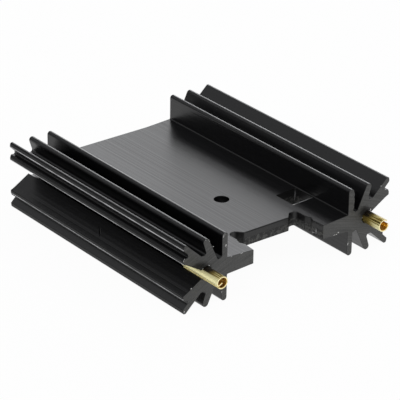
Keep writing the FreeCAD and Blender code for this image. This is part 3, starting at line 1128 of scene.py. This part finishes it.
    def notch_outline(self) -> np.ndarray:
        """Work out the end notch: a stepped mouth, then two ears beside a straight back wall.

        Returns:
            Its points across and in from the end face.
        """
        side = self.ear_inner + self.ear_width
        shoulder = side + self.shoulder_flare
        step = shoulder - self.step_inset
        beyond = 4.0
        mouth = self.mouth_half + (self.mouth_half - step) * beyond / self.step_depth
        half = [
            Corner(self.ear_start, self.notch_depth, self.bend_round),
            Corner(self.ear_inner, self.ear_depth, self.ear_round),
            Corner(side, self.ear_depth, self.ear_round),
            Corner(side, self.bend_depth, self.bend_round),
            Corner(shoulder, self.shoulder_depth, self.shoulder_round),
            Corner(step, self.step_depth, self.shoulder_round),
            Corner(mouth, -beyond),
        ]
        mirrored = [Corner(-corner.across, corner.along, corner.radius) for corner in reversed(half)]
        return rounded(half + mirrored)

    def window_outline(self, flare: float) -> np.ndarray:
        """Work out the clip window, whose near rim alone is drawn down by the punch.

        Args:
            flare: how far its near side lies out from the wall.

        Returns:
            Its points across and in from the end face.
        """
        outer = self.fin_inner - self.window_wall
        inner = outer - self.window_width
        near = self.window_place - flare
        far = self.window_place + self.window_length
        return rounded([Corner(inner, near, self.window_round), Corner(outer, near, self.window_round),
                        Corner(outer, far, self.window_round), Corner(inner, far, self.window_round)])

    def punches(self) -> list[bpy.types.Object]:
        """Make the punches of the notch, the clip window and the screw hole.

        Returns:
            The three punches.
        """
        flares, rim_depths = self.rim()
        below = 3.0 * self.root_half
        above = -1.0
        depths = np.concatenate(((below,), rim_depths, (above,)))
        flares = np.concatenate(((0.0,), flares, (flares[-1],)))
        notch = counterclockwise(self.notch_outline())
        circle = arc((0.0, self.hole_place), self.hole_radius, 0.0, 2.0 * np.pi, 64)[:-1]
        hole_share = 0.2
        return [
            self.punch("notch_punch", [grown(notch, flare) for flare in flares], depths),
            self.punch("window_punch", [self.window_outline(flare) for flare in flares], depths, worn=True),
            self.punch("hole_punch", [grown(circle, hole_share * flare) for flare in flares],
                       np.concatenate(((below,), hole_share * rim_depths, (above,))), Surface.DRAWN),
        ]

    def build(self, finishes: Sequence[bpy.types.Material]) -> bpy.types.Object:
        """Draw the bar, punch it and dress it.

        Args:
            finishes: a material for each kind of surface, by its number.

        Returns:
            The finished extrusion.
        """
        profile = self.profile() + (0.0, self.middle)
        piece = bar(self.name, profile, self.near_end, self.far_end, self.end_edge, Surface.SAWN)
        self.wear(piece, profile)
        for finish in finishes:
            piece.data.materials.append(finish)
        punches = self.punches()
        for punch in punches:
            for material in piece.data.materials:
                punch.data.materials.append(material)
            cut = piece.modifiers.new(punch.name, "BOOLEAN")
            cut.operation = "DIFFERENCE"
            cut.solver = "EXACT"
            cut.object = punch
        applied(piece)
        for punch in punches:
            bpy.data.objects.remove(punch)
        finished(piece)
        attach(piece, "root")
        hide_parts("heat_sink")
        return piece


@dataclass(frozen=True)
class Fleck:
    """One fleck of torn metal on the near end face: its place from the middle, half sizes and turn."""

    across: float
    up: float
    half_length: float
    half_width: float
    turn: float = 0.0

    def axes(self) -> tuple[np.ndarray, np.ndarray]:
        """Work out the fleck's half axes in the end face.

        Returns:
            The long one and the short one.
        """
        angle = np.radians(self.turn)
        direction = np.array((np.cos(angle), 0.0, np.sin(angle)))
        sideways = np.array((-np.sin(angle), 0.0, np.cos(angle)))
        return direction * self.half_length, sideways * self.half_width


@dataclass(frozen=True)
class Scratch:
    """A long mark on a surface, from start to end, which faces along its normal.

    Its ends are places across, in from the near end and up from the middle plane.
    """

    start: tuple[float, float, float]
    end: tuple[float, float, float]
    half_width: float
    normal: tuple[float, float, float]
    surface: Surface


def lens(centre: np.ndarray, axes: np.ndarray, rings: int = 5, spokes: int = 12) -> np.ndarray:
    """Work out the points of a closed lens as rings: an ellipsoid with two wide axes and a thin one.

    Args:
        centre: its middle.
        axes: its three half axes, one in each row, right-handed.
        rings: rings between the two tips.
        spokes: points in each ring.

    Returns:
        An array of rings, points and coordinates.
    """
    steepest = 1.45
    height = np.sin(np.linspace(-steepest, steepest, rings))[:, None]
    turn = np.linspace(0.0, 2.0 * np.pi, spokes, endpoint=False)[None, :]
    reach = np.sqrt(1.0 - height ** 2)
    level = np.broadcast_to(height, (rings, spokes))
    unit = np.stack((reach * np.cos(turn), reach * np.sin(turn), level), axis=-1)
    return centre + unit[::-1] @ axes


def lens_patch(name: str, lenses: Sequence[np.ndarray]) -> bpy.types.Object:
    """Make one object of several lenses.

    Args:
        name: the object's name.
        lenses: their points, all with the same numbers of rings and of points in a ring.

    Returns:
        The object.
    """
    rings, spokes = lenses[0].shape[:2]
    size = rings * spokes
    faces = quad_faces(rings, spokes)
    first = np.arange(spokes)
    last = (rings - 1) * spokes + first[::-1]
    listed = []
    for number in range(len(lenses)):
        listed += (faces + number * size).tolist()
        listed += [(first + number * size).tolist(), (last + number * size).tolist()]
    return make_object(name, np.concatenate([points.reshape(-1, 3) for points in lenses]), listed)


@dataclass
class Marks:
    """The marks of handling: torn flecks on the sawn end, a wavy burr on one fin, scratches and chips, and a
    dark strip of painted shade along the top of the notch's back wall.
    """

    thickness: float = 0.03
    flecks: tuple[Fleck, ...] = (
        Fleck(-13.69, 3.9, 0.24, 0.15, 80.0), Fleck(-13.6, 3.5, 0.06, 0.05),
        Fleck(-14.22, 5.75, 0.3, 0.055, 75.0), Fleck(-13.98, 6.12, 0.1, 0.05, 35.0),
        Fleck(-10.3, 1.42, 0.26, 0.045, 8.0), Fleck(-12.5, 1.46, 0.2, 0.035),
        Fleck(-18.0, 6.15, 0.07, 0.05, 60.0), Fleck(-17.35, 6.0, 0.09, 0.05, -50.0),
        Fleck(-17.2, 5.72, 0.08, 0.045, -65.0), Fleck(-16.4, 4.5, 0.12, 0.07, 10.0),
        Fleck(-22.42, 3.93, 0.14, 0.045, 50.0), Fleck(-22.56, 3.62, 0.2, 0.04, 85.0),
        Fleck(-20.9, -1.95, 0.14, 0.09, 45.0), Fleck(-22.3, -5.85, 0.16, 0.08, 60.0),
        Fleck(-17.2, 1.25, 0.14, 0.07, -20.0), Fleck(-18.5, 1.0, 0.1, 0.05, 30.0),
        Fleck(11.2, -1.1, 0.16, 0.1), Fleck(10.75, -1.33, 0.12, 0.08, 30.0),
        Fleck(10.3, -1.32, 0.3, 0.04, 5.0),
        Fleck(13.5, -4.0, 0.26, 0.08, 70.0), Fleck(-14.4, -4.6, 0.22, 0.04, 90.0),
        Fleck(18.45, 1.2, 0.2, 0.11, 70.0), Fleck(16.6, 0.2, 0.09, 0.07, 70.0), Fleck(20.7, 5.1, 0.1, 0.08),
    )
    burr_top: float = 5.7
    burr_bottom: float = 2.4
    burr_width: float = 0.16
    burr_depth: float = 0.12
    burr_root: float = 0.2
    burr_lift: float = 0.01
    burr_edge: float = 0.015
    burr_level: float = 0.72
    burr_wave: float = 0.28
    burr_rate: float = 5.1
    burr_sway: float = 0.8
    burr_sway_rate: float = 2.3
    burr_bluntness: float = 0.4
    scratches: tuple[Scratch, ...] = (
        Scratch((-21.46, 25.17, -2.31), (-20.18, 27.18, -1.57), 0.13, (-0.5, 0.0, 0.866), Surface.DULL),
        Scratch((-21.10, 25.09, -2.10), (-20.12, 26.82, -1.54), 0.06, (-0.5, 0.0, 0.866), Surface.SAWN),
        Scratch((8.4, 9.2, 1.37), (9.4, 9.14, 1.40), 0.09, (0.0, 0.0, 1.0), Surface.TORN),
        Scratch((8.7, 9.16, 1.38), (13.0, 9.08, 1.58), 0.09, (0.0, 0.0, 1.0), Surface.WORN),
        Scratch((7.52, 1.68, 0.2), (7.52, 1.66, -1.05), 0.05, (-1.0, 0.0, 0.0), Surface.WORN),
        Scratch((7.45, 2.6, -1.0), (7.5, 1.95, -0.8), 0.09, (-1.0, 0.0, 0.0), Surface.WORN),
        # Painted shade: a dark strip along the top of the notch's back wall, below its rim.
        Scratch((-5.2, 5.93, 1.16), (4.9, 5.93, 1.16), 0.09, (0.0, -1.0, 0.0), Surface.DULL),
        Scratch((12.92, 13.8, 1.25), (12.92, 13.8, -0.7), 0.045, (-0.7, -0.7, 0.0), Surface.WORN),
        Scratch((7.46, 2.5, 1.12), (7.68, 0.1, 0.95), 0.06, (-1.0, 0.0, 0.0), Surface.DULL),
        Scratch((7.6, 2.8, 1.35), (7.6, 2.8, 0.7), 0.13, (-1.0, 0.0, 0.0), Surface.DULL),
    )

    def build_flecks(self, extrusion: Extrusion, finish: bpy.types.Material) -> bpy.types.Object:
        """Lay the flecks on the near end face.

        Args:
            extrusion: the extrusion that carries them.
            finish: the material of torn metal.

        Returns:
            All the flecks as one object.
        """
        lift = np.array((0.0, -self.thickness, 0.0))
        lenses = []
        for fleck in self.flecks:
            centre = np.array((fleck.across, extrusion.near_end, extrusion.middle + fleck.up))
            lenses.append(lens(centre, np.stack((*fleck.axes(), lift))))
        piece = lens_patch("torn_flecks", lenses)
        piece.data.materials.append(finish)
        return piece

    def build_burr(self, extrusion: Extrusion, finish: bpy.types.Material) -> bpy.types.Object:
        """Fold the wavy burr out of the right straight fin's outer edge at the sawn end.

        It stands out by its width times the sine of its share of the way down, raised to a small power
        that makes it blunt, times a wave whose phase sways a little.

        Args:
            extrusion: the extrusion whose fin carries it.
            finish: the material of a sawn face.

        Returns:
            The burr.
        """
        up = np.linspace(self.burr_top, self.burr_bottom, 45)
        share = (self.burr_top - up) / (self.burr_top - self.burr_bottom)
        sway = self.burr_sway * np.sin(self.burr_sway_rate * up)
        wave = self.burr_level + self.burr_wave * np.sin(self.burr_rate * up + sway)
        out = self.burr_width * np.sin(np.pi * share) ** self.burr_bluntness * wave
        outer = np.column_stack((extrusion.fin_outer + out, up))
        root = extrusion.fin_outer - self.burr_root
        inner = np.array(((root, self.burr_bottom), (root, self.burr_top)))
        outline = np.concatenate((outer, inner)) + (0.0, extrusion.middle)
        start = extrusion.near_end - self.burr_lift
        piece = bar("wavy_burr", outline, start, start + self.burr_depth, self.burr_edge, 0)
        piece.data.materials.append(finish)
        return piece

    def build_scratch(self, number: int, scratch: Scratch, extrusion: Extrusion,
                      finishes: Sequence[bpy.types.Material]) -> bpy.types.Object:
        """Lay one long lens along a scratch.

        Args:
            number: the scratch's number, for its name.
            scratch: where it lies.
            extrusion: the extrusion that carries it.
            finishes: a material for each kind of surface, by its number.

        Returns:
            The scratch.
        """
        base = np.array((0.0, extrusion.near_end, extrusion.middle))
        start, end = np.array(scratch.start) + base, np.array(scratch.end) + base
        run = (end - start) / 2.0
        along = run / np.linalg.norm(run)
        normal = np.array(scratch.normal)
        normal = normal - (normal @ along) * along
        normal /= np.linalg.norm(normal)
        axes = np.stack((run, np.cross(normal, along) * scratch.half_width, normal * self.thickness))
        piece = lens_patch(f"scratch_{number}", [lens((start + end) / 2.0, axes)])
        piece.data.materials.append(finishes[scratch.surface])
        return piece

    def build(self, extrusion: Extrusion, finishes: Sequence[bpy.types.Material]) -> list[bpy.types.Object]:
        """Make all the marks and let them ride with the extrusion.

        Args:
            extrusion: the extrusion that carries them.
            finishes: a material for each kind of surface, by its number.

        Returns:
            The flecks, the burr and each scratch.
        """
        pieces = [
            self.build_flecks(extrusion, finishes[Surface.TORN]),
            self.build_burr(extrusion, finishes[Surface.SAWN]),
            *(self.build_scratch(number, scratch, extrusion, finishes)
              for number, scratch in enumerate(self.scratches, start=1)),
        ]
        for piece in pieces:
            finished(piece)
            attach(piece, "root")
        return pieces


@dataclass
class RolledPin:
    """A solder pin rolled from strip, in the socket at the bottom of a side groove.

    Its seam starts at one angle and the strip turns through the sweep, then curls in. The ranges of its
    painted highlight and painted shadow go to its finish.
    """

    side: Side
    seam_start: float
    wall: float = 0.25
    sweep: float = 321.0
    curl_radius: float = 0.425
    curl_sweep: float = 105.0
    tongue: float = 0.5
    edge: float = 0.05
    # Ranges of the painted highlight and of the painted shadow next to the end face.
    highlight_out: tuple[float, float] = (-12.0, -8.0)
    highlight_level: tuple[float, float] = (0.36, 0.12)
    pin_shadow_out: tuple[float, float] = (1.0, 4.2)
    pin_shadow_level: tuple[float, float] = (0.0, 0.3)
    axis: tuple[float, float] = field(init=False)
    radius: float = field(init=False)
    near_end: float = field(init=False)
    far_end: float = field(init=False)

    @property
    def node(self) -> str:
        """Return the name of the CAD node that this pin stands for."""
        return "solder_pin_" + self.side.name.lower()

    def __post_init__(self) -> None:
        """Read the pin's place and diameter from the CAD node."""
        low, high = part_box(self.node)
        self.axis = ((low.x + high.x) / 2.0 / MM, (low.z + high.z) / 2.0 / MM)
        self.radius = (high.x - low.x) / 2.0 / MM
        self.near_end = low.y / MM
        self.far_end = high.y / MM

    def section(self) -> np.ndarray:
        """Work out the section of the rolled strip.

        The outer turn runs from the seam through the sweep. There a small circle, which touches it from
        inside, takes over and ends in a straight tongue. The inner line follows it one wall further in.

        Returns:
            The outline's points across and up.
        """
        start = np.radians(self.seam_start)
        turn = start + np.radians(self.sweep)
        stop = turn + np.radians(self.curl_sweep)
        reach = self.radius - self.curl_radius
        curl = (reach * np.cos(turn), reach * np.sin(turn))
        tongue = self.tongue * np.array((-np.sin(stop), np.cos(stop)))
        outer_turn = arc((0.0, 0.0), self.radius, start, turn, 56)
        outer_curl = arc(curl, self.curl_radius, turn, stop, 14)[1:]
        inner_turn = arc((0.0, 0.0), self.radius - self.wall, turn, start, 56)
        inner_curl = arc(curl, self.curl_radius - self.wall, stop, turn, 14)[:-1]
        tip = np.stack((outer_curl[-1] + tongue, inner_curl[0] + tongue))
        return np.concatenate((outer_turn, outer_curl, tip, inner_curl, inner_turn)) + self.axis

    def inner_faces(self, piece: bpy.types.Object) -> np.ndarray:
        """Tell which faces lie within the tube, nearer to its axis than half the wall's thickness in.

        Args:
            piece: the pin.

        Returns:
            For each face, whether it does.
        """
        centres = np.empty(3 * len(piece.data.polygons))
        piece.data.polygons.foreach_get("center", centres)
        off_axis = centres.reshape(-1, 3)[:, (0, 2)] / MM - self.axis
        return np.linalg.norm(off_axis, axis=1) < self.radius - 0.5 * self.wall

    def outside(self, end_face: float) -> bpy.types.Material:
        """Make the finish of the pin's outside.

        Args:
            end_face: where the extrusion's end face lies, from which the zones run.

        Returns:
            The material.
        """
        name = "rolled_brass_" + self.side.name.lower()
        return RolledBrass(name, self.axis, self.radius, end_face, self.highlight_out, self.highlight_level,
                           self.pin_shadow_out, self.pin_shadow_level).build()

    def build(self, outside: bpy.types.Material, inside: bpy.types.Material,
              rim: bpy.types.Material) -> bpy.types.Object:
        """Roll the pin and dress it.

        Args:
            outside: the finish of its outside.
            inside: the finish of its inside.
            rim: the finish of its cut ends.

        Returns:
            The finished pin.
        """
        name = "rolled_pin_" + self.side.name.lower()
        piece = bar(name, self.section(), self.near_end, self.far_end, self.edge, PinFace.CUT)
        for finish in (outside, inside, rim):
            piece.data.materials.append(finish)
        numbers = np.where(self.inner_faces(piece), PinFace.INSIDE, PinFace.OUTSIDE).astype(np.int32)
        numbers[-2:] = PinFace.CUT
        piece.data.polygons.foreach_set("material_index", numbers)
        finished(piece)
        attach(piece, "root")
        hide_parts(self.node)
        return piece


# Studio


@dataclass
class Studio:
    """A white table under a sky that is bright to the right of the part's far end and dim to its left.

    The far sky is a ramp of the angle about the part's long axis, from 0 on the right horizon over the
    top to 1 on the left one. Each stop gives that angle and its share of the strongest light. The far
    sky takes over from the even near one where a direction's part along Y passes the far_from range.
    """

    table_half: float = 3.0
    table_white: float = 0.85
    table_lit: float = 0.96
    tint: tuple[float, float, float, float] = (0.975, 0.98, 1.0, 1.0)
    strongest: float = 3.12
    near_level: float = 0.96
    far_from: tuple[float, float] = (0.15, 0.45)
    far_stops: tuple = ((0.0, 1.0), (0.083, 0.98), (0.167, 0.68), (0.25, 0.67), (0.333, 0.08), (0.417, 0.0),
                        (0.5, 0.23), (0.583, 0.16), (0.667, 0.2), (0.75, 0.28), (0.833, 0.01), (0.917, 0.09),
                        (1.0, 0.18))

    def seen(self, graph: Graph) -> Signal:
        """Return the table's own share of its light, for rays that show the background."""
        rays = [graph.add("ShaderNodeLightPath", output=name)
                for name in ("Is Camera Ray", "Is Glossy Ray", "Is Transmission Ray")]
        return rays[0].math("MAXIMUM", rays[1].math("MAXIMUM", rays[2])) * self.table_lit

    def make_table(self) -> bpy.types.Object:
        """Lay the white table, mostly lit by itself where it is seen, so that it keeps a faint shadow.

        Returns:
            The table.
        """
        half = self.table_half / MM
        corners = np.array(((-half, -half, 0.0), (half, -half, 0.0), (half, half, 0.0), (-half, half, 0.0)))
        table = make_object("table", corners, [[0, 1, 2, 3]])
        material, graph = new_material("white_table")
        matt = graph.add("ShaderNodeBsdfDiffuse", inputs={"Color": grey(self.table_white)})
        light = graph.add("ShaderNodeEmission", inputs={"Color": grey(1.0), "Strength": 1.0})
        graph.finish(graph.add("ShaderNodeMixShader", inputs={0: self.seen(graph), 1: matt, 2: light}))
        table.data.materials.append(material)
        return table

    def make_tent(self) -> None:
        """Light the world: white to the camera, and to the part a tent that varies with direction."""
        world = bpy.data.worlds.new("tent")
        world.use_nodes = True
        graph = Graph(world.node_tree)
        direction = graph.add("ShaderNodeTexCoord", output="Generated")
        across, along, up = graph.axes(direction)
        turn = up.math("ARCTAN2", across) / np.pi
        far = graph.add("ShaderNodeValToRGB", {"stops": self.far_stops}, {0: turn}) * self.strongest
        share = graph.step(along, *self.far_from)
        level = far * share + (1.0 - share) * self.near_level
        camera = graph.add("ShaderNodeLightPath", output="Is Camera Ray")
        strength = camera + (1.0 - camera) * level
        tent = graph.add("ShaderNodeBackground", inputs={"Color": self.tint, "Strength": strength})
        graph.finish(tent, "ShaderNodeOutputWorld")
        bpy.context.scene.world = world

    def build(self) -> None:
        """Set the stage and the plain view."""
        self.make_table()
        self.make_tent()
        bpy.context.scene.view_settings.view_transform = "Standard"


@dataclass
class Viewpoint:
    """The photograph's camera: a long lens that looks down on the near end from its left."""

    azimuth: float = -38.30
    elevation: float = 25.86
    roll: float = -0.86
    distance: float = 432.28
    target: tuple[float, float, float] = (-1.546, -0.723, 6.35)
    focal_pixels: float = 2458.0
    frame_pixels: float = 400.0
    sensor: float = 36.0

    def build(self) -> bpy.types.Object:
        """Place the camera, whose focal length is given as pixels of the photograph's frame.

        Returns:
            The camera.
        """
        turn, lift, roll = np.radians((self.azimuth, self.elevation, self.roll))
        back = Vector((np.sin(turn) * np.cos(lift), -np.cos(turn) * np.cos(lift), np.sin(lift)))
        level = Vector((np.cos(turn), np.sin(turn), 0.0))
        upright = back.cross(level)
        right = np.cos(roll) * level - np.sin(roll) * upright
        up = np.sin(roll) * level + np.cos(roll) * upright
        lens = bpy.data.cameras.new("camera")
        lens.sensor_width = self.sensor
        lens.lens = self.sensor * self.focal_pixels / self.frame_pixels
        lens.clip_start = 0.01
        lens.clip_end = 100.0
        camera = bpy.data.objects.new("camera", lens)
        place = (Vector(self.target) + back * self.distance) * MM
        turned = Matrix((right, up, back)).transposed().to_4x4()
        camera.matrix_world = Matrix.Translation(place) @ turned
        bpy.context.scene.collection.objects.link(camera)
        bpy.context.scene.camera = camera
        return camera


def main() -> None:
    """Build the part and its studio, and report each piece."""
    logging.basicConfig(level=logging.INFO, format="%(name)s: %(message)s")
    inside = Metal("dull_rolled_brass", colour=(0.9, 0.62, 0.16), tarnish=(0.6, 0.37, 0.08),
                   roughness=0.42, line_height_um=5.0).build()
    rim = Metal("cut_brass", colour=(0.95, 0.86, 0.52), tarnish=(0.9, 0.8, 0.45), roughness=0.35).build()
    dull = DrawnAnodised("dull_black_anodising", ior=1.28, roughness=0.4)
    torn = Metal("torn_aluminium", colour=(0.55, 0.55, 0.54), tarnish=(0.3, 0.3, 0.3), roughness=0.5)
    kinds = {Surface.DRAWN: DrawnAnodised(), Surface.SAWN: SawnAnodised(), Surface.PUNCHED: PunchedAnodised(),
             Surface.WORN: WornAnodised(), Surface.DULL: dull, Surface.TORN: torn}
    finishes = [kinds[surface].build() for surface in Surface]
    extrusion = Extrusion()
    pieces = [extrusion.build(finishes), *Marks().build(extrusion, finishes)]
    # The right pin's painted highlight and painted shadow lie elsewhere than the left one's.
    pins = (RolledPin(Side.LEFT, 224.0, curl_sweep=112.0, tongue=0.68),
            RolledPin(Side.RIGHT, 48.0, sweep=296.0, curl_sweep=60.0, tongue=0.15,
                      highlight_out=(1.2, 3.8), highlight_level=(-0.15, -0.6), pin_shadow_out=(0.5, 2.8),
                      pin_shadow_level=(-0.5, 0.1)))
    for pin in pins:
        pieces.append(pin.build(pin.outside(extrusion.near_end), inside, rim))
    for piece in pieces:
        log.info("%s: %d faces", piece.name, len(piece.data.polygons))
    Studio().build()
    Viewpoint().build()


if __name__ == "__main__":
    main()
